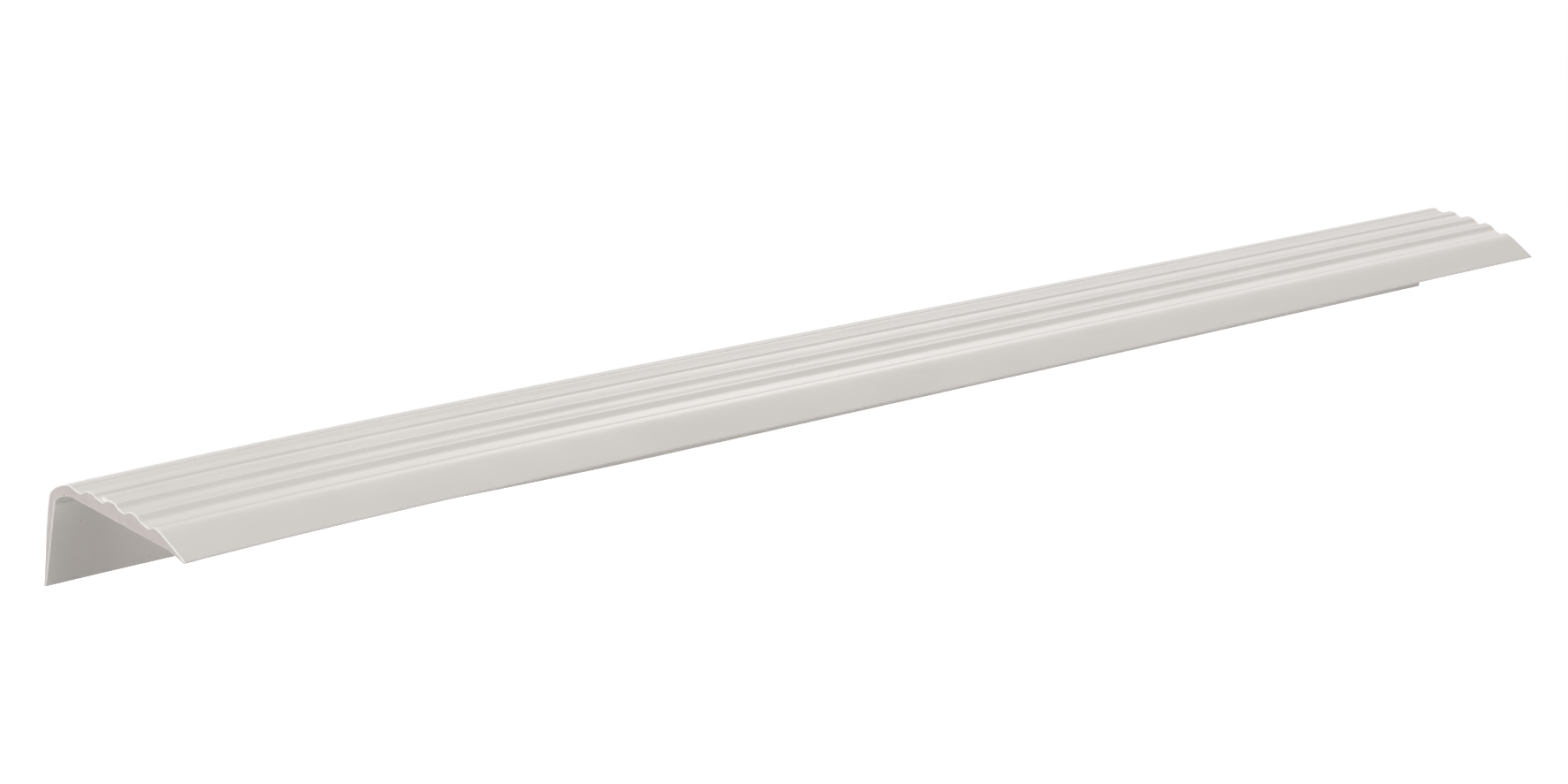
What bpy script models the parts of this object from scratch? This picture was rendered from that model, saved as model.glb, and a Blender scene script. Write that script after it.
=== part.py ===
"""Vinyl stair nosing: one extruded strip with a ribbed tread, a ramped lip and a tapered leg.

Its section is drawn with the tread level, as it sits on a stair: s runs from the leg's outer face to
the lip's tip, and h runs up from the crest over the nose. The strip is stored as it stands on a floor,
on the leg's free edge and the lip's tip. World +X runs along the strip, and the lip points to -Y.
"""

from math import atan2, cos, pi, radians, sin, tan

import bmesh
import bpy
from mathutils import Matrix, Vector

MM = 0.001

# Strip
LENGTH = 914.4 * MM
END_BREAK = 0.2 * MM  # the saw cut's broken edge, at both ends

# Set: the shape of its own that the flexible strip has taken
TWIST = radians(-4.0)  # from the near end, at -X, to the far end
TWIST_SWELL = radians(0.85)  # the middle's turn beyond its even share of the twist
TWIST_WAVE = radians(-9.2)  # turns the strip back between the middle and each end
BOW = 0.64 * MM  # the middle stands this much above the line between the ends
BOW_SKEW = 1.48 * MM  # lifts the near half and lets the far half down
BOW_WAVE = 5.1 * MM  # lifts the strip between the middle and each end
STATIONS = 13  # stretches along the length; an odd number leaves the middle one straight

# Nose, where the tread turns down into the leg
NOSE_RUN = 6.35 * MM  # from the leg's outer face to the first crest's edge
NOSE_DROP = 5.4 * MM  # from the first crest down to where the nose meets the leg's outer face
NOSE_THICK = 3.15 * MM  # tread under the first crest

# Ribbed tread
GROOVES = 4
RIB_PITCH = 8.0 * MM
SHOULDER_RUN = 7.7 * MM  # from the last rib's edge to the top of the ramp
CROWN = 1.28 * MM  # the middle rib stands this much above the nose and the shoulder
FIRST_GROOVE = 0.73 * MM  # depth, next to the nose
LAST_GROOVE = 1.92 * MM  # depth, next to the ramp
DROP_RUN = 3.55 * MM  # the groove's side that faces the ramp
LAST_DROP_RUN = 5.1 * MM
FLOOR_RUN = 0.35 * MM
RISE_RUN = 2.05 * MM
LAST_RISE_RUN = 1.75 * MM
DROP_ANGLE = radians(30)  # of the groove's fall from the crest's edge
KNEE = 0.65  # the share of the depth at which that fall eases
KNEE_ROUND = (0.7, 0.4)  # the knee is rounded from and to these shares of the lines that meet in it
RIB_DOME = 0.03 * MM  # the middle of a rib's top above its two ends
UNDERSIDE_FALL = radians(1.83)  # the underside falls towards the lip

# Ramp and lip
RAMP_RUN = 12.35 * MM
RAMP_DROP = 5.22 * MM  # from the first crest down to the lip's tip
RAMP_ANGLE = radians(22)  # at the tip
LIP_THICK = 0.85 * MM
LIP_RUN = 6.2 * MM  # the tip's stretch whose underside follows the ramp down

# Leg
LEG_DROP = 32.0 * MM  # from the first crest to the leg's free edge
LEG_ROOT = 2.55 * MM
LEG_EDGE = 0.95 * MM
LEG_LEAN = radians(10.9)  # the inner face leans in under the tread
INNER_ROOT_DROP = 6.5 * MM  # from the first crest down to the end of the inner corner's fillet
INNER_FILLET_RUN = 5.5 * MM  # from the leg's inner face along the underside

# How far the curves keep their first and last directions, as shares of their run or drop
NOSE_PULLS = (0.43, 0.42)
RISE_PULLS = (0.15, 0.35)
RAMP_PULLS = (0.09, 0.3)
CORNER_PULL = 0.45
LEG_PULLS = (0.35, 0.25)
OUTER_LEAN = 0.8  # the outer face leaves the nose at this share of the inner face's lean

VINYL = (0.70, 0.69, 0.67, 1.0)


def clear_scene():
    for old in list(bpy.data.objects):
        bpy.data.objects.remove(old, do_unlink=True)


def bezier(start, pull, push, end, pieces):
    """Points of a cubic curve after its start, up to and with its end."""
    points = []
    for i in range(1, pieces + 1):
        t = i / pieces
        u = 1 - t
        points.append(u**3 * start + 3 * u * u * t * pull + 3 * u * t * t * push + t**3 * end)
    return points


def half_round(start, end, pieces):
    """Points of the half circle from start to end, bulging to the left of that direction."""
    centre = (start + end) / 2
    spoke = start - centre
    return [Matrix.Rotation(-pi * i / pieces, 2) @ spoke + centre for i in range(1, pieces + 1)]


def arch(t):
    """A parabola over 0 to 1, nought at both ends and 1 in the middle."""
    return 4 * t * (1 - t)


def crown_height(s, ramp_top):
    return CROWN * arch((s - NOSE_RUN) / (ramp_top - NOSE_RUN))


def nose_outline():
    """From the leg's outer face over the nose to the first crest's edge."""
    start = Vector((0.0, -NOSE_DROP))
    end = Vector((NOSE_RUN, 0.0))
    return bezier(
        start,
        start + Vector((0, NOSE_PULLS[0] * NOSE_DROP)),
        end - Vector((NOSE_PULLS[1] * NOSE_RUN, 0)),
        end,
        10,
    )


def groove_outline(edge, next_edge, depth, drop_run, rise_run, ramp_top):
    """One groove, from a crest's edge down its steep side, along its floor and up to the next edge."""
    top = Vector((edge, crown_height(edge, ramp_top)))
    foot = top + Vector((drop_run, -depth))
    rise = foot + Vector((FLOOR_RUN, 0))
    land_s = rise.x + rise_run
    land = Vector((land_s, crown_height(land_s, ramp_top)))
    next_top = Vector((next_edge, crown_height(next_edge, ramp_top)))
    knee = top + KNEE * depth * Vector((1 / tan(DROP_ANGLE), -1))
    before, after = top.lerp(knee, KNEE_ROUND[0]), knee.lerp(foot, KNEE_ROUND[1])
    points = [before] + bezier(before, knee, knee, after, 3)
    points += [foot, rise]
    points += bezier(
        rise,
        rise + Vector((RISE_PULLS[0] * rise_run, 0)),
        land - Vector((RISE_PULLS[1] * rise_run, 0)),
        land,
        4,
    )
    return points + [land.lerp(next_top, 0.5) + Vector((0, RIB_DOME)), next_top]


def tread_outline():
    """The grooves, which deepen from the nose to the ramp."""
    ramp_top = NOSE_RUN + (GROOVES - 1) * RIB_PITCH + SHOULDER_RUN
    points = []
    for i in range(GROOVES):
        edge = NOSE_RUN + i * RIB_PITCH
        last = i == GROOVES - 1
        next_edge = ramp_top if last else edge + RIB_PITCH
        drop_run = LAST_DROP_RUN if last else DROP_RUN
        rise_run = LAST_RISE_RUN if last else RISE_RUN
        share = i / max(GROOVES - 1, 1)
        depth = FIRST_GROOVE + share * (LAST_GROOVE - FIRST_GROOVE)
        points += groove_outline(edge, next_edge, depth, drop_run, rise_run, ramp_top)
    return points


def underside(s):
    return -NOSE_THICK - tan(UNDERSIDE_FALL) * (s - NOSE_RUN)


def ramp_outline(shoulder):
    """From the shoulder down the ramp, round the tip and back to the tread's flat underside."""
    tip = Vector((shoulder.x + RAMP_RUN, -RAMP_DROP))
    along = Vector((cos(RAMP_ANGLE), -sin(RAMP_ANGLE)))
    points = bezier(
        shoulder,
        shoulder + Vector((RAMP_PULLS[0] * RAMP_RUN, 0)),
        tip - RAMP_PULLS[1] * RAMP_RUN * along,
        tip,
        8,
    )
    below = tip + LIP_THICK * Vector((along.y, -along.x))
    points += half_round(tip, below, 4)
    heel_s = tip.x - LIP_RUN
    return points + [Vector((heel_s, underside(heel_s)))]


def leg_outline():
    """From the underside round the inner corner, down the leg's inner face and round its free edge."""
    root = Vector((LEG_ROOT, -INNER_ROOT_DROP))
    corner_s = LEG_ROOT + INNER_FILLET_RUN
    corner = Vector((corner_s, underside(corner_s)))
    edge = Vector((LEG_ROOT + tan(LEG_LEAN) * (LEG_DROP - INNER_ROOT_DROP), -LEG_DROP))
    points = [corner] + bezier(
        corner,
        corner - Vector((CORNER_PULL * INNER_FILLET_RUN, 0)),
        root + Vector((0, CORNER_PULL * (INNER_ROOT_DROP - NOSE_THICK))),
        root,
        8,
    )
    inner_end = edge + Vector((0, LEG_EDGE / 2))
    outer_end = inner_end - Vector((LEG_EDGE, 0))
    outer_top = Vector((0, -NOSE_DROP))
    lean = OUTER_LEAN * LEG_LEAN
    down_leg = Vector((sin(lean), -cos(lean)))
    return (
        points
        + [inner_end]
        + half_round(inner_end, outer_end, 4)
        + bezier(
            outer_end,
            outer_end.lerp(outer_top, LEG_PULLS[0]),
            outer_top + LEG_PULLS[1] * LEG_DROP * down_leg,
            outer_top,
            6,
        )
    )


def section_outline():
    """The section with the tread level: once round, over the tread first."""
    top = nose_outline() + tread_outline()
    return top + ramp_outline(top[-1]) + leg_outline()


def resting_tilt(outline):
    """The turn that brings the leg's free edge and the lip's tip onto one level floor."""
    middle = max(p.x for p in outline) / 2
    tilt = 0.0
    for _ in range(6):
        turn = Matrix.Rotation(tilt, 2)
        leg = min((p for p in outline if p.x < middle), key=lambda p: (turn @ p).y)
        lip = min((p for p in outline if p.x >= middle), key=lambda p: (turn @ p).y)
        tilt = -atan2(lip.y - leg.y, lip.x - leg.x)
    return tilt


def standing_outline():
    """The section as it stands, centred over the floor between its two resting edges."""
    outline = section_outline()
    turn = Matrix.Rotation(resting_tilt(outline), 2)
    turned = [turn @ p for p in outline]
    floor = min(p.y for p in turned)
    middle = (min(p.x for p in turned) + max(p.x for p in turned)) / 2
    return [p - Vector((middle, floor)) for p in turned]


def outline_curve(points):
    """A flat closed curve, extruded to the strip's length about its plane, with the end edges broken."""
    curve = bpy.data.curves.new("nosing_section", "CURVE")
    curve.dimensions = "2D"
    curve.fill_mode = "BOTH"
    curve.extrude = LENGTH / 2 - END_BREAK
    curve.bevel_depth = END_BREAK
    curve.bevel_resolution = 0
    curve.offset = -END_BREAK
    spline = curve.splines.new("POLY")
    spline.points.add(len(points) - 1)
    for point, at in zip(spline.points, points):
        point.co = (at.x, at.y, 0, 1)
    spline.use_cyclic_u = True
    return bpy.data.objects.new("nosing_section", curve)


def mesh_from_curve(curve_object, name):
    """The curve's solid as a mesh, with its end caps welded on."""
    bpy.context.scene.collection.objects.link(curve_object)
    bpy.context.view_layer.update()
    evaluated = curve_object.evaluated_get(bpy.context.evaluated_depsgraph_get())
    mesh = bpy.data.meshes.new_from_object(evaluated)
    mesh.name = name
    bm = bmesh.new()
    bm.from_mesh(mesh)
    bmesh.ops.remove_doubles(bm, verts=bm.verts, dist=0.001 * MM)
    bm.to_mesh(mesh)
    bm.free()
    curve = curve_object.data
    bpy.data.objects.remove(curve_object, do_unlink=True)
    bpy.data.curves.remove(curve)
    return mesh


def set_along_x(bm):
    """The section's s to world -Y, its h to world +Z, and the extrusion along X."""
    upright = Matrix.Rotation(-pi / 2, 4, "Z") @ Matrix.Rotation(pi / 2, 4, "X")
    bmesh.ops.transform(bm, matrix=upright, verts=bm.verts)


def take_set(bm):
    """Turn each station about the line on the floor midway between the resting edges, and lift it."""
    for i in range(1, STATIONS):
        cut = LENGTH * (i / STATIONS - 0.5)
        everything = bm.verts[:] + bm.edges[:] + bm.faces[:]
        bmesh.ops.bisect_plane(bm, geom=everything, dist=0.001 * MM, plane_co=(cut, 0, 0), plane_no=(1, 0, 0))
    for vert in bm.verts:
        along = vert.co.x / LENGTH
        swell = arch(along + 0.5)
        turn = TWIST * along + (TWIST_SWELL + TWIST_WAVE * along**2) * swell
        lift = (BOW - 2 * BOW_SKEW * along + BOW_WAVE * along**2) * swell
        vert.co = Matrix.Rotation(turn, 3, "X") @ vert.co + Vector((0, 0, lift))


def seat(bm):
    """Put the box's middle over the origin and its lowest point on the floor."""
    low = Vector(min(v.co[i] for v in bm.verts) for i in range(3))
    high = Vector(max(v.co[i] for v in bm.verts) for i in range(3))
    middle = (low + high) / 2
    bmesh.ops.translate(bm, vec=(-middle.x, -middle.y, -low.z), verts=bm.verts)


def vinyl_material():
    material = bpy.data.materials.new("vinyl")
    material.use_nodes = True
    shader = material.node_tree.nodes["Principled BSDF"]
    shader.inputs["Base Color"].default_value = VINYL
    shader.inputs["Roughness"].default_value = 0.45
    shader.inputs["Metallic"].default_value = 0.0
    return material


def stair_nosing(collection):
    mesh = mesh_from_curve(outline_curve(standing_outline()), "stair_nosing")
    bm = bmesh.new()
    bm.from_mesh(mesh)
    set_along_x(bm)
    take_set(bm)
    seat(bm)
    bmesh.ops.recalc_face_normals(bm, faces=bm.faces)
    bm.to_mesh(mesh)
    bm.free()
    mesh.shade_smooth()
    mesh.set_sharp_from_angle(angle=radians(30))
    mesh.materials.append(vinyl_material())
    nosing = bpy.data.objects.new("stair_nosing", mesh)
    collection.objects.link(nosing)
    return nosing


def main():
    clear_scene()
    collection = bpy.data.collections.new("vinyl_stair_nosing")
    bpy.context.scene.collection.children.link(collection)
    stair_nosing(collection)


main()
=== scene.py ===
"""Looks of the vinyl stair nosing: a fine mesh of the strip, its materials, and plain studio light.

The strip's section is drawn in millimetres with the tread level: s runs from the leg's outer face to the
lip's tip, and h runs up from the crest over the nose. World +X runs along the strip and the lip points
to -Y. The near end, which the camera sees, is at -X.
"""
from math import atan2, cos, pi, radians, sin, tan

import bmesh
import bpy
import numpy as np
from mathutils import Matrix, Vector

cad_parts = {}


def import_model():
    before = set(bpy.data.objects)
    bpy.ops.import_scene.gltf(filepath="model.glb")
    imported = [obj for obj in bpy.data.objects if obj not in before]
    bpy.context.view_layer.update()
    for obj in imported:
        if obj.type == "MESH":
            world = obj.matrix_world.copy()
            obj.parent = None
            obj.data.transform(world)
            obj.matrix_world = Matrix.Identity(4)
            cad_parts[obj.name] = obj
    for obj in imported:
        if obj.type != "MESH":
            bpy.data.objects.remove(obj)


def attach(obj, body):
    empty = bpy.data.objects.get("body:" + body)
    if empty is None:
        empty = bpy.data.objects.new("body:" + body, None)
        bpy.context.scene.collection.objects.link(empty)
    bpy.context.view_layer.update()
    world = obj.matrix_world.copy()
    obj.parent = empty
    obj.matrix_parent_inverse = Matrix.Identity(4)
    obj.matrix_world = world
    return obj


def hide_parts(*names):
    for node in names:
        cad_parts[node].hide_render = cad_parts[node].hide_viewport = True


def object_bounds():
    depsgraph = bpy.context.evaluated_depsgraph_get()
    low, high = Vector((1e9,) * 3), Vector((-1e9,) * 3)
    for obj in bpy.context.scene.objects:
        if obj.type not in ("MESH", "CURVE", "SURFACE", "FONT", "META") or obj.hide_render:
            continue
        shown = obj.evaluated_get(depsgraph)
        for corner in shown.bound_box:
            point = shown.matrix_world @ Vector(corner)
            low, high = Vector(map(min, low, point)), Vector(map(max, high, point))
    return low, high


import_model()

cad_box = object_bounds()
MM = 0.001

# Strip and the set that it has taken, in mm and radians
LENGTH = 914.4
TWIST = radians(-4.0)  # from one end to the other
TWIST_SWELL = radians(0.85)  # turned further in the middle
TWIST_WAVE = radians(-9.2)  # and how that changes towards the ends
BOW = 0.64  # lift in the middle
BOW_SKEW = 1.48  # more of it towards the near end
BOW_WAVE = 5.1  # and towards both ends

# Section, in mm
NOSE_RUN = 6.35
NOSE_DROP = 5.4
NOSE_PULLS = (0.43, 0.42)  # how far the nose's curve follows the leg and the tread, as shares
NOSE_THICK = 3.15
GROOVES = 4
RIB_PITCH = 8.0
SHOULDER_RUN = 7.7
CROWN = 1.28
FIRST_GROOVE = 0.73
LAST_GROOVE = 1.92
DROP_RUN = 3.55
LAST_DROP_RUN = 5.1
FLOOR_RUN = 0.35
RISE_RUN = 2.05
LAST_RISE_RUN = 1.75
RISE_PULLS = (0.15, 0.35)
DROP_ANGLE = radians(30)
FALL = Vector((cos(DROP_ANGLE), -sin(DROP_ANGLE)))
KNEE = 0.65  # share of a groove's depth at which its steep side bends
KNEE_ROUND = (0.7, 0.55)  # the knee is rounded from and to these shares of the lines that meet in it
KNEE_PULL = 0.75
RIB_DOME = 0.03
RIB_PULL = 0.6
UNDERSIDE_FALL = radians(1.83)
RAMP_RUN = 12.35
RAMP_DROP = 5.22
RAMP_ANGLE = radians(22)
LIP_THICK = 0.85
LIP_RUN = 6.2
LEG_DROP = 32.0
LEG_ROOT = 2.55
LEG_EDGE = 0.95
LEG_LEAN = radians(10.9)
OUTER_LEAN = 0.8 * LEG_LEAN  # at the top of the leg's outer face
OUTER_PULLS = (0.35, 0.25)
INNER_ROOT_DROP = 6.9
INNER_FILLET_RUN = 5.5
CORNER_PULL = 0.45
CREST_ROUND = 0.6  # each crest's edge is rounded from and to this far from it
CREST_PULL = 0.7
SHOULDER_EASE = 2.6  # how far the ramp's start runs on before it bends down
SHOULDER_ANGLE = radians(10)
TIP_REACH = RAMP_RUN / 3
TIP_ANGLE = radians(24.5)

# The leg's free edge comes down to the floor between these shares of the length, from the near end
HANG_SPAN = (0.03, 0.38)

# Stations along the strip, in mm from each end, and how many lie between them
END_STATIONS = (
    0, 0.05, 0.12, 0.35, 0.4, 0.6, 0.8, 1.1, 1.4, 1.7, 2.0, 2.2,
    2.4, 2.6, 2.8, 3.0, 3.3, 3.8, 4.5, 6.2, 8.5, 11.5, 15, 19.5,
)
INNER_START = 25
INNER_COUNT = 110

# Saw cut: the broken edge round each end, which one of the end's stations bounds
CUT_BREAK = END_STATIONS[3]

# Waves in the soft surface: length along the strip in mm, turns round the section, and phase
WAVES = ((61.0, 3, 0.3), (37.0, 7, 1.9), (23.0, 5, 4.1), (97.0, 2, 2.2), (14.0, 11, 5.3))
WAVE_DEPTH = 0.035

# Materials' places in the mesh
SKIN, CUT, EDGE = 0, 1, 2

# Flaws at the near end: where, how far they reach, and how they push the surface, in mm
FLAWS = (
    ((-454.5, -0.3, 22.4), 0.95, (0.0, -0.1, 1.25)),  # a burr that stands up in the second groove
    ((-456.9, -1.9, 21.4), 0.6, (0.0, 0.0, 0.4)),  # lumps in the cut's edge next to it
    ((-456.9, -3.2, 21.6), 0.5, (0.0, 0.0, 0.3)),
    ((-457.2, -6.9, 14.6), 0.5, (0.0, -0.15, 0.4)),  # nicks in the underside's edge
    ((-457.2, -7.7, 14.1), 0.45, (0.0, 0.1, -0.2)),
    ((-457.2, -1.4, 17.9), 0.4, (0.0, 0.0, 0.3)),
)
FLAW_SLOPE = 0.7  # under 1, a flaw is blunter than a cone
BURR_HIGHLIGHT_REACH = 1.6  # how far the burr's painted highlight, the cut edge's pale colour, goes, in its reaches

# Dark specks on the cut and on the leg: where, and how far they reach, in mm
CUT_SPECKS = (((-457.2, 11.6, 26.8), 0.42), ((-457.2, -1.5, 18.2), 0.36), ((-457.2, -16.0, 8.9), 0.32))
SKIN_SPECKS = (((-442.8, 18.2, 18.6), 0.4), ((-405.3, 24.1, 4.2), 0.45), ((-414.0, 23.6, 5.6), 0.4))
SPECK_CORE = 0.3  # a speck is darkest inside this share of its reach

# Colours, from dim to bright. The vinyl's change where its clouds go through the two tint steps
TINT_STEPS = (0.3, 0.7)
SPECK_STEP = 0.16  # specks bring the clouds down to nought, and their own colour shows up to here
SKIN_TINT = ((0.568, 0.539, 0.510), (0.597, 0.568, 0.539))
SKIN_SPECK_TINT = (0.2, 0.19, 0.18)
CUT_TINT = ((0.62, 0.565, 0.542), (0.68, 0.625, 0.602))
CUT_SPECK_TINT = (0.07, 0.065, 0.06)
# The cut's broken edge: its pale colour is a painted highlight along the rim
EDGE_HIGHLIGHT_TINT = ((0.76, 0.74, 0.715), (0.86, 0.84, 0.815))
FLOOR_TINT = ((0.74, 0.74, 0.74), (0.76, 0.76, 0.76))

# Noise: clouds to the metre along each axis, then its detail and roughness
SKIN_CLOUDS = ((18, 70, 70), 3.0, 0.55)
DIE_LINES = ((6, 1400, 1400), 2.0, 0.6)
SKIN_GRAIN = ((900, 1800, 1800), 2.0, 0.6)
CUT_CLOUDS = ((300, 300, 300), 4.0, 0.6)
SAW_MARKS = ((400, 260, 2600), 3.0, 0.65)
EDGE_CLOUDS = ((500, 500, 500), 3.0, 0.6)

# Surfaces: roughness, and each relief's strength and height in m
SKIN_ROUGHNESS = (0.21, 0.26)
CUT_ROUGHNESS = 0.75
EDGE_ROUGHNESS = 0.5
FLOOR_ROUGHNESS = 0.9
LINE_STRENGTH = 0.2
GRAIN_STRENGTH = 0.15
SKIN_RELIEF = 0.00003
SAW_STRENGTH = 0.5
CUT_RELIEF = 0.00005

# Stage, in m
FLOOR_HALF = 30
FLOOR_GAP = 0.00002  # the floor lies this far under the strip
FLOOR_GLOW = 0.8  # white that only the background's rays see
SKY_LEVEL = 0.59  # the world's light on the strip
SKY_WHITE = 1.0  # and what the background's rays see

# Camera, fitted to the strip's outlines in the photo: mm, m and degrees
LENS = 177.23
CAMERA_PLACE = (-2.266292, -1.337548, 0.016657)
CAMERA_TURN = (89.8939, 12.0078, -58.679)
CAMERA_REACH = 100

# Lamps: name, place, what each faces, its width and height, in m, and its power in W
LAMPS = (
    ("front", (-0.3, -1.6, 1.8), (0, 0, 0), (1.5, 1.0), 13.3),
    ("near", (-1.9, -0.5, 1.4), (-0.4, 0, 0), (0.9, 0.7), 8.0),
    ("low", (-2.0, -1.4, 0.5), (0, 0, 0), (0.8, 0.6), 3.0),
    ("top", (0.1, 0.5, 1.8), (0, 0, 0), (1.8, 1.2), 5.6),
    ("far_high", (3.0, -0.15, 2.2), (-0.2, 0, 0), (0.4, 0.8), 1.7),
    ("far_low", (3.2, 0, 1.8), (0.1, 0, 0), (0.5, 0.9), 1.6),
    ("under", (0.01, -0.015, 0.002), (0.01, 0.02, 0.004), (0.88, 0.003), 0.08),
)


# Section outline

def bezier(start, pull, push, end, pieces):
    """Points of a cubic curve after its start, up to and with its end."""
    points = []
    for i in range(1, pieces + 1):
        t = i / pieces
        u = 1 - t
        points.append(u**3 * start + 3 * u * u * t * pull + 3 * u * t * t * push + t**3 * end)
    return points


def straight(start, end, pieces):
    """Points of a line after its start, up to and with its end."""
    return [start.lerp(end, i / pieces) for i in range(1, pieces + 1)]


def half_round(start, end, pieces):
    """Points of a half circle after its start, up to and with its end."""
    centre = (start + end) / 2
    return [Matrix.Rotation(-pi * i / pieces, 2) @ (start - centre) + centre for i in range(1, pieces + 1)]


def arch(t):
    """A parabola over 0 to 1, nought at both ends and 1 in the middle."""
    return 4 * t * (1 - t)


def crown_height(s, ramp_top):
    """Height of the crests' crowned line at s."""
    return CROWN * arch((s - NOSE_RUN) / (ramp_top - NOSE_RUN))


def nose_outline():
    """From the leg's outer face over the nose to the first crest."""
    start = Vector((0.0, -NOSE_DROP))
    end = Vector((NOSE_RUN, 0.0))
    pull = start + Vector((0, NOSE_PULLS[0] * NOSE_DROP))
    push = end - Vector((NOSE_PULLS[1] * NOSE_RUN, 0))
    return bezier(start, pull, push, end, 26)


def round_crest(points, fall):
    """Take the corner off the crest that the points end in, where the surface goes on along fall."""
    edge = points[-1]
    kept = [p for p in points if (p - edge).length > CREST_ROUND]
    start = kept[-1]
    end = edge + CREST_ROUND * fall
    return kept + bezier(start, start.lerp(edge, CREST_PULL), end.lerp(edge, CREST_PULL), end, 8)


def groove_outline(edge, next_edge, depth, drop_run, rise_run, ramp_top):
    """One groove, from just past a crest's rounded edge to the next crest's edge."""
    top = Vector((edge, crown_height(edge, ramp_top)))
    foot = top + Vector((drop_run, -depth))
    rise = foot + Vector((FLOOR_RUN, 0))
    land_s = rise.x + rise_run
    land = Vector((land_s, crown_height(land_s, ramp_top)))
    next_top = Vector((next_edge, crown_height(next_edge, ramp_top)))
    knee = top + KNEE * depth / sin(DROP_ANGLE) * FALL
    before, after = top.lerp(knee, KNEE_ROUND[0]), knee.lerp(foot, KNEE_ROUND[1])
    points = straight(top + CREST_ROUND * FALL, before, 2)
    points += bezier(before, before.lerp(knee, KNEE_PULL), after.lerp(knee, KNEE_PULL), after, 12)
    points += straight(after, foot, 3)
    points += straight(foot, rise, 2)
    pull = rise + Vector((RISE_PULLS[0] * rise_run, 0))
    push = land - Vector((RISE_PULLS[1] * rise_run, 0))
    points += bezier(rise, pull, push, land, 10)
    peak = land.lerp(next_top, 0.5) + Vector((0, RIB_DOME))
    return points + bezier(land, land.lerp(peak, RIB_PULL), next_top.lerp(peak, RIB_PULL), next_top, 6)


def tread_outline(points):
    """The nose's points, then the grooves, which deepen towards the ramp."""
    ramp_top = NOSE_RUN + (GROOVES - 1) * RIB_PITCH + SHOULDER_RUN
    for i in range(GROOVES):
        edge = NOSE_RUN + i * RIB_PITCH
        last = i == GROOVES - 1
        next_edge = ramp_top if last else edge + RIB_PITCH
        drop_run = LAST_DROP_RUN if last else DROP_RUN
        rise_run = LAST_RISE_RUN if last else RISE_RUN
        depth = FIRST_GROOVE + i / (GROOVES - 1) * (LAST_GROOVE - FIRST_GROOVE)
        points = round_crest(points, FALL)
        points += groove_outline(edge, next_edge, depth, drop_run, rise_run, ramp_top)
    return points


def underside(s):
    """The tread's underside, which falls away from the nose a little."""
    return -NOSE_THICK - tan(UNDERSIDE_FALL) * (s - NOSE_RUN)


def ramp_outline(points):
    """The tread's points, then the ramp, the lip's tip and its heel."""
    shoulder = points[-1]
    tip = Vector((shoulder.x + RAMP_RUN, -RAMP_DROP))
    ease = SHOULDER_EASE * Vector((cos(SHOULDER_ANGLE), -sin(SHOULDER_ANGLE)))
    reach = TIP_REACH * Vector((cos(TIP_ANGLE), -sin(TIP_ANGLE)))
    points += bezier(shoulder, shoulder + ease, tip - reach, tip, 22)
    along = Vector((cos(RAMP_ANGLE), -sin(RAMP_ANGLE)))
    below = tip + LIP_THICK * Vector((along.y, -along.x))
    points += half_round(tip, below, 8)
    heel_s = tip.x - LIP_RUN
    return points + straight(below, Vector((heel_s, underside(heel_s))), 5)


def leg_outline(heel):
    """From the lip's heel along the underside, round the inner corner and round the leg to the nose."""
    root = Vector((LEG_ROOT, -INNER_ROOT_DROP))
    corner_s = LEG_ROOT + INNER_FILLET_RUN
    corner = Vector((corner_s, underside(corner_s)))
    edge = Vector((LEG_ROOT + tan(LEG_LEAN) * (LEG_DROP - INNER_ROOT_DROP), -LEG_DROP))
    inner_end = edge + Vector((0, LEG_EDGE / 2))
    outer_end = inner_end - Vector((LEG_EDGE, 0))
    outer_top = Vector((0, -NOSE_DROP))
    down_leg = Vector((sin(OUTER_LEAN), -cos(OUTER_LEAN)))
    corner_pull = corner - Vector((CORNER_PULL * INNER_FILLET_RUN, 0))
    root_pull = root + Vector((0, CORNER_PULL * (INNER_ROOT_DROP - NOSE_THICK)))
    outer_pull = outer_end.lerp(outer_top, OUTER_PULLS[0])
    outer_push = outer_top + OUTER_PULLS[1] * LEG_DROP * down_leg
    points = straight(heel, corner, 30)
    points += bezier(corner, corner_pull, root_pull, root, 16)
    points += straight(root, inner_end, 20)
    points += half_round(inner_end, outer_end, 8)
    return points + bezier(outer_end, outer_pull, outer_push, outer_top, 22)


def section_outline():
    """The whole closed section, with the tread level."""
    top = ramp_outline(tread_outline(nose_outline()))
    return top + leg_outline(top[-1])


def standing(outline):
    """Turned so that the leg's free edge and the lip's tip are level, with the floor at 0."""
    middle = max(p.x for p in outline) / 2
    tilt = 0.0
    for _ in range(6):
        turn = Matrix.Rotation(tilt, 2)
        leg = min((p for p in outline if p.x < middle), key=lambda p: (turn @ p).y)
        lip = min((p for p in outline if p.x >= middle), key=lambda p: (turn @ p).y)
        tilt = -atan2(lip.y - leg.y, lip.x - leg.x)
    turn = Matrix.Rotation(tilt, 2)
    turned = np.array([turn @ p for p in outline])
    low, high = turned.min(0), turned.max(0)
    return turned - np.array(((low[0] + high[0]) / 2, low[1]))


# Strip's mesh

def stations():
    """Places along the strip, close together near the two saw cuts."""
    half = LENGTH / 2
    inner = np.linspace(-half + INNER_START, half - INNER_START, INNER_COUNT)
    ends = np.array(END_STATIONS)
    return np.concatenate([ends - half, inner, half - ends[::-1]])


def outline_normals(outline):
    """Unit vectors out of the section, one at each of its points."""
    step = np.roll(outline, -1, 0) - np.roll(outline, 1, 0)
    step /= np.linalg.norm(step, axis=1)[:, None]
    return np.column_stack([-step[:, 1], step[:, 0]])


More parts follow.
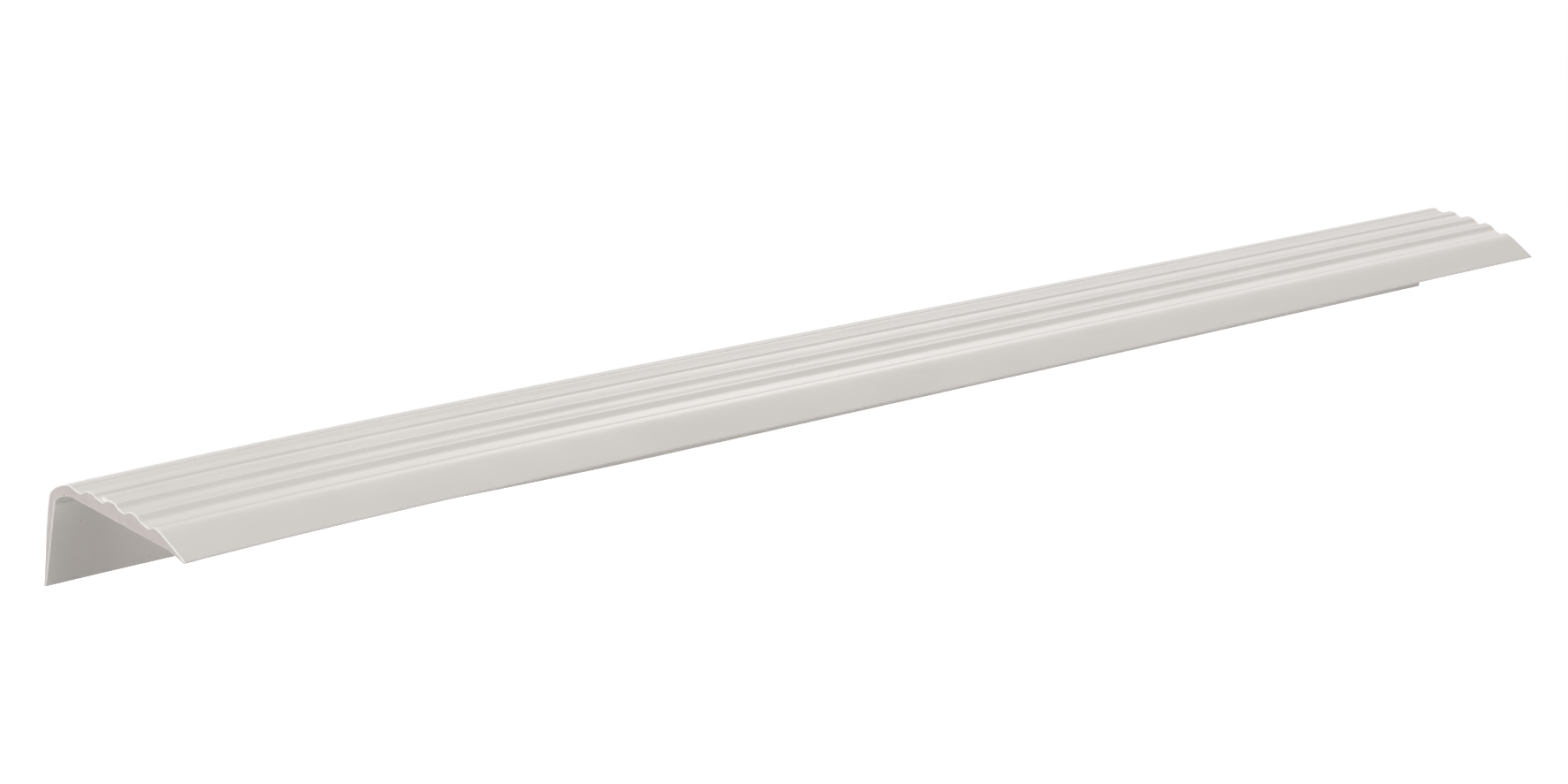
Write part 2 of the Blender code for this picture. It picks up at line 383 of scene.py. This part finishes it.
def take_set(x, y, z):
    """The section's y and z at x, twisted and bowed as the strip is."""
    along = x / LENGTH
    swell = arch(along + 0.5)
    turn = TWIST * along + (TWIST_SWELL + TWIST_WAVE * along**2) * swell
    lift = (BOW - 2 * BOW_SKEW * along + BOW_WAVE * along**2) * swell
    return cos(turn) * y - sin(turn) * z, sin(turn) * y + cos(turn) * z + lift


def waviness(x, u):
    """How far the soft surface lies under its nominal one, in mm, at x along the strip and u round it."""
    total = sum(0.5 + 0.5 * sin(2 * pi * (x / length + turns * u) + phase) for length, turns, phase in WAVES)
    return WAVE_DEPTH * total / len(WAVES)


def cut_inset(from_end):
    """How far the outline lies inside the section, close to a saw cut."""
    if from_end >= CUT_BREAK:
        return 0.0
    t = 1 - from_end / CUT_BREAK
    return CUT_BREAK * (1 - (1 - t * t) ** 0.5)


def hanging(outline):
    """How much of the hang each point takes: none down to the leg's root, all at its free edge."""
    down = np.array([-INNER_ROOT_DROP - p.y for p in outline]) / (LEG_DROP - INNER_ROOT_DROP)
    return np.clip(down, 0, 1) ** 2


def strip_places():
    """Where the section's points lie at each station, in mm."""
    drawn = section_outline()
    outline = standing(drawn)
    normals = outline_normals(outline)
    count = len(outline)
    xs = stations()
    places = np.empty((len(xs), count, 3))
    for j, x in enumerate(xs):
        inset = cut_inset(LENGTH / 2 - abs(x)) + np.array([waviness(x, i / count) for i in range(count)])
        s, h = (outline - inset[:, None] * normals).T
        y, z = take_set(x, -s, h)
        places[j] = np.column_stack([np.full(count, x), y, z])
    share = hanging(drawn)
    free_edge = places[:, share.argmax(), 2]
    start, end = HANG_SPAN
    t = np.clip((xs / LENGTH + 0.5 - start) / (end - start), 0, 1)
    hang = (free_edge - places[:, :, 2].min()) * t * t * (3 - 2 * t)
    places[:, :, 2] -= hang[:, None] * share
    return places


def strip_mesh():
    """The closed mesh: skin, a rim round each end, and the two cuts."""
    places = strip_places()
    count = places.shape[1]
    xs = places[:, 0, 0]
    bm = bmesh.new()
    rings = [[bm.verts.new(place * MM) for place in ring] for ring in places]
    for j in range(len(rings) - 1):
        for i in range(count):
            k = (i + 1) % count
            face = bm.faces.new((rings[j][i], rings[j][k], rings[j + 1][k], rings[j + 1][i]))
            middle = (xs[j] + xs[j + 1]) / 2
            # the rim round each end takes the pale colour that paints its highlight
            face.material_index = EDGE if LENGTH / 2 - abs(middle) < CUT_BREAK else SKIN
            face.smooth = True
    for ring in (rings[0], rings[-1]):
        cap = bm.faces.new(ring)
        cap.material_index = CUT
        bmesh.ops.triangulate(bm, faces=[cap], ngon_method="EAR_CLIP")
    bmesh.ops.recalc_face_normals(bm, faces=bm.faces)
    mesh = bpy.data.meshes.new("nosing_strip")
    bm.to_mesh(mesh)
    bm.free()
    return mesh


def set_in_box(mesh, box):
    """Centre the mesh in the CAD box and keep it no larger, with the flaws pushed into its surface."""
    co = np.empty(len(mesh.vertices) * 3)
    mesh.vertices.foreach_get("co", co)
    co = co.reshape(-1, 3)
    low, high = np.array(box[0]), np.array(box[1])
    size = co.max(0) - co.min(0)
    co *= np.minimum((high - low) / size, 1.0)
    co += (low + high) / 2 - (co.max(0) + co.min(0)) / 2
    for place, reach, push in FLAWS:
        away = np.linalg.norm(co - np.array(place) * MM, axis=1) / (reach * MM)
        co += (np.clip(1 - away, 0, 1) ** FLAW_SLOPE)[:, None] * np.array(push) * MM
    co = np.clip(co, low, high)
    mesh.vertices.foreach_set("co", co.ravel())
    mesh.update()


def burr_painted_highlight(mesh):
    """The burr takes the cut edge's pale colour, which paints its highlight."""
    place, reach, _ = FLAWS[0]
    for face in mesh.polygons:
        if face.material_index == SKIN and (face.center / MM - Vector(place)).length < BURR_HIGHLIGHT_REACH * reach:
            face.material_index = EDGE


# Materials

def new_material(name):
    """A material with its nodes, links and shader."""
    material = bpy.data.materials.new(name)
    material.use_nodes = True
    nodes = material.node_tree.nodes
    return material, nodes, material.node_tree.links, nodes["Principled BSDF"]


def node(nodes, kind, **values):
    """A new node, with its sockets and settings set by name."""
    made = nodes.new(kind)
    for key, value in values.items():
        if key in made.inputs:
            made.inputs[key].default_value = value
        else:
            setattr(made, key, value)
    return made


def stretched(nodes, links, scale):
    """Object coordinates, scaled by the axes."""
    place = node(nodes, "ShaderNodeTexCoord")
    mapping = node(nodes, "ShaderNodeMapping")
    mapping.inputs["Scale"].default_value = scale
    links.new(place.outputs["Object"], mapping.inputs["Vector"])
    return mapping.outputs["Vector"]


def away_from(nodes, links, spots):
    """0 inside the given spots, each a place and a radius in mm, and 1 away from them."""
    place = node(nodes, "ShaderNodeTexCoord")
    nearest = None
    for spot, radius in spots:
        distance = node(nodes, "ShaderNodeVectorMath", operation="DISTANCE")
        distance.inputs[1].default_value = Vector(spot) * MM
        links.new(place.outputs["Object"], distance.inputs[0])
        level = node(nodes, "ShaderNodeMapRange")
        level.inputs["From Min"].default_value = SPECK_CORE * radius * MM
        level.inputs["From Max"].default_value = radius * MM
        links.new(distance.outputs["Value"], level.inputs["Value"])
        if nearest:
            lower = node(nodes, "ShaderNodeMath", operation="MINIMUM")
            links.new(nearest, lower.inputs[0])
            links.new(level.outputs["Result"], lower.inputs[1])
            nearest = lower.outputs["Value"]
        else:
            nearest = level.outputs["Result"]
    return nearest


def tinted(nodes, links, clouds, tint, spots=(), dark=None):
    """A colour that goes from dim to bright with the clouds, and to dark inside the spots."""
    dim, bright = tint
    ramp = node(nodes, "ShaderNodeValToRGB")
    steps = ramp.color_ramp.elements
    steps[0].position = TINT_STEPS[0]
    steps[0].color = (*dim, 1)
    steps[1].position = TINT_STEPS[1]
    steps[1].color = (*bright, 1)
    if not spots:
        links.new(clouds, ramp.inputs["Fac"])
        return ramp.outputs["Color"]
    steps.new(SPECK_STEP).color = (*dim, 1)
    steps.new(0.0).color = (*dark, 1)
    kept = node(nodes, "ShaderNodeMath", operation="MULTIPLY")
    links.new(clouds, kept.inputs[0])
    links.new(away_from(nodes, links, spots), kept.inputs[1])
    links.new(kept.outputs["Value"], ramp.inputs["Fac"])
    return ramp.outputs["Color"]


def noise(nodes, links, scale, detail, roughness):
    """Noise with so many clouds to the metre along each axis."""
    made = node(nodes, "ShaderNodeTexNoise", Scale=1.0, Detail=detail, Roughness=roughness)
    links.new(stretched(nodes, links, scale), made.inputs["Vector"])
    return made.outputs["Fac"]


def vinyl():
    """Soft vinyl as it leaves the die: fine lines along the strip, faint clouds and a satin skin."""
    material, nodes, links, shader = new_material("vinyl_skin")
    clouds = noise(nodes, links, *SKIN_CLOUDS)
    tint = tinted(nodes, links, clouds, SKIN_TINT, SKIN_SPECKS, SKIN_SPECK_TINT)
    links.new(tint, shader.inputs["Base Color"])

    sheen = node(nodes, "ShaderNodeMapRange")
    sheen.inputs["To Min"].default_value = SKIN_ROUGHNESS[0]
    sheen.inputs["To Max"].default_value = SKIN_ROUGHNESS[1]
    links.new(clouds, sheen.inputs["Value"])
    links.new(sheen.outputs["Result"], shader.inputs["Roughness"])

    drawn = node(nodes, "ShaderNodeBump", Strength=LINE_STRENGTH, Distance=SKIN_RELIEF)
    links.new(noise(nodes, links, *DIE_LINES), drawn.inputs["Height"])
    skin = node(nodes, "ShaderNodeBump", Strength=GRAIN_STRENGTH, Distance=SKIN_RELIEF)
    links.new(noise(nodes, links, *SKIN_GRAIN), skin.inputs["Height"])
    links.new(drawn.outputs["Normal"], skin.inputs["Normal"])
    links.new(skin.outputs["Normal"], shader.inputs["Normal"])
    return material


def saw_cut():
    """The bare cut: matt, a little pinker than the skin, with the blade's fine marks."""
    material, nodes, links, shader = new_material("vinyl_saw_cut")
    clouds = noise(nodes, links, *CUT_CLOUDS)
    tint = tinted(nodes, links, clouds, CUT_TINT, CUT_SPECKS, CUT_SPECK_TINT)
    links.new(tint, shader.inputs["Base Color"])
    shader.inputs["Roughness"].default_value = CUT_ROUGHNESS
    bump = node(nodes, "ShaderNodeBump", Strength=SAW_STRENGTH, Distance=CUT_RELIEF)
    links.new(noise(nodes, links, *SAW_MARKS), bump.inputs["Height"])
    links.new(bump.outputs["Normal"], shader.inputs["Normal"])
    return material


def pale_edge_highlight():
    """The cut's broken edge, with a pale colour that paints its highlight, and faint clouds."""
    material, nodes, links, shader = new_material("vinyl_edge_painted_highlight")
    clouds = noise(nodes, links, *EDGE_CLOUDS)
    links.new(tinted(nodes, links, clouds, EDGE_HIGHLIGHT_TINT), shader.inputs["Base Color"])
    shader.inputs["Roughness"].default_value = EDGE_ROUGHNESS
    return material


def white_rays(nodes, links):
    """1 for the rays that see the background white: camera, glossy and transmission rays."""
    path = node(nodes, "ShaderNodeLightPath")
    first = node(nodes, "ShaderNodeMath", operation="MAXIMUM")
    links.new(path.outputs["Is Camera Ray"], first.inputs[0])
    links.new(path.outputs["Is Glossy Ray"], first.inputs[1])
    both = node(nodes, "ShaderNodeMath", operation="MAXIMUM")
    links.new(first.outputs["Value"], both.inputs[0])
    links.new(path.outputs["Is Transmission Ray"], both.inputs[1])
    return both.outputs["Value"]


def floor_material():
    """A pale matt floor that the camera sees as white, with the strip's shadow on it."""
    material, nodes, links, shader = new_material("studio_floor")
    shader.inputs["Roughness"].default_value = FLOOR_ROUGHNESS
    shader.inputs["Specular IOR Level"].default_value = 0.0
    clouds = node(nodes, "ShaderNodeTexNoise", Scale=3.0, Detail=2.0)
    tint = node(nodes, "ShaderNodeValToRGB")
    tint.color_ramp.elements[0].color = (*FLOOR_TINT[0], 1)
    tint.color_ramp.elements[1].color = (*FLOOR_TINT[1], 1)
    links.new(clouds.outputs["Fac"], tint.inputs["Fac"])
    links.new(tint.outputs["Color"], shader.inputs["Base Color"])
    white = node(nodes, "ShaderNodeEmission", Color=(1, 1, 1, 1))
    glow = node(nodes, "ShaderNodeMath", operation="MULTIPLY")
    glow.inputs[1].default_value = FLOOR_GLOW
    links.new(white_rays(nodes, links), glow.inputs[0])
    links.new(glow.outputs["Value"], white.inputs["Strength"])
    total = node(nodes, "ShaderNodeAddShader")
    links.new(shader.outputs["BSDF"], total.inputs[0])
    links.new(white.outputs["Emission"], total.inputs[1])
    links.new(total.outputs["Shader"], nodes["Material Output"].inputs["Surface"])
    return material


# Stage, light and camera

def floor():
    """A level floor that runs out of sight."""
    bm = bmesh.new()
    bmesh.ops.create_grid(bm, x_segments=8, y_segments=8, size=FLOOR_HALF)
    mesh = bpy.data.meshes.new("floor")
    bm.to_mesh(mesh)
    bm.free()
    mesh.materials.append(floor_material())
    made = bpy.data.objects.new("floor", mesh)
    bpy.context.scene.collection.objects.link(made)
    made.location.z = -FLOOR_GAP


def world():
    """Even pale light, which the background's rays see as white."""
    sky = bpy.data.worlds.new("studio")
    sky.use_nodes = True
    nodes, links = sky.node_tree.nodes, sky.node_tree.links
    back = nodes["Background"]
    back.inputs["Color"].default_value = (1, 1, 1, 1)
    level = node(nodes, "ShaderNodeMapRange")
    level.inputs["To Min"].default_value = SKY_LEVEL
    level.inputs["To Max"].default_value = SKY_WHITE
    links.new(white_rays(nodes, links), level.inputs["Value"])
    links.new(level.outputs["Result"], back.inputs["Strength"])
    bpy.context.scene.world = sky


def area_light(name, location, target, size, power):
    """A rectangular lamp that faces its target."""
    data = bpy.data.lights.new(name, "AREA")
    data.shape = "RECTANGLE"
    data.size, data.size_y = size
    data.energy = power
    light = bpy.data.objects.new(name, data)
    light.location = location
    light.rotation_euler = (Vector(target) - Vector(location)).to_track_quat("-Z", "Y").to_euler()
    bpy.context.scene.collection.objects.link(light)


def camera():
    """The photo's view, from low down beyond the near end."""
    data = bpy.data.cameras.new("camera")
    data.lens = LENS
    data.clip_end = CAMERA_REACH
    made = bpy.data.objects.new("camera", data)
    made.location = CAMERA_PLACE
    made.rotation_euler = [radians(turn) for turn in CAMERA_TURN]
    bpy.context.scene.collection.objects.link(made)
    bpy.context.scene.camera = made


def strip():
    """The strip, which takes the place of the CAD node."""
    mesh = strip_mesh()
    set_in_box(mesh, cad_box)
    burr_painted_highlight(mesh)
    for material in (vinyl(), saw_cut(), pale_edge_highlight()):
        mesh.materials.append(material)
    made = bpy.data.objects.new("nosing_strip", mesh)
    bpy.context.scene.collection.objects.link(made)
    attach(made, "root")
    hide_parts("stair_nosing")


strip()
floor()
world()
for lamp in LAMPS:
    area_light(*lamp)
camera()
bpy.context.scene.view_settings.view_transform = "Standard"
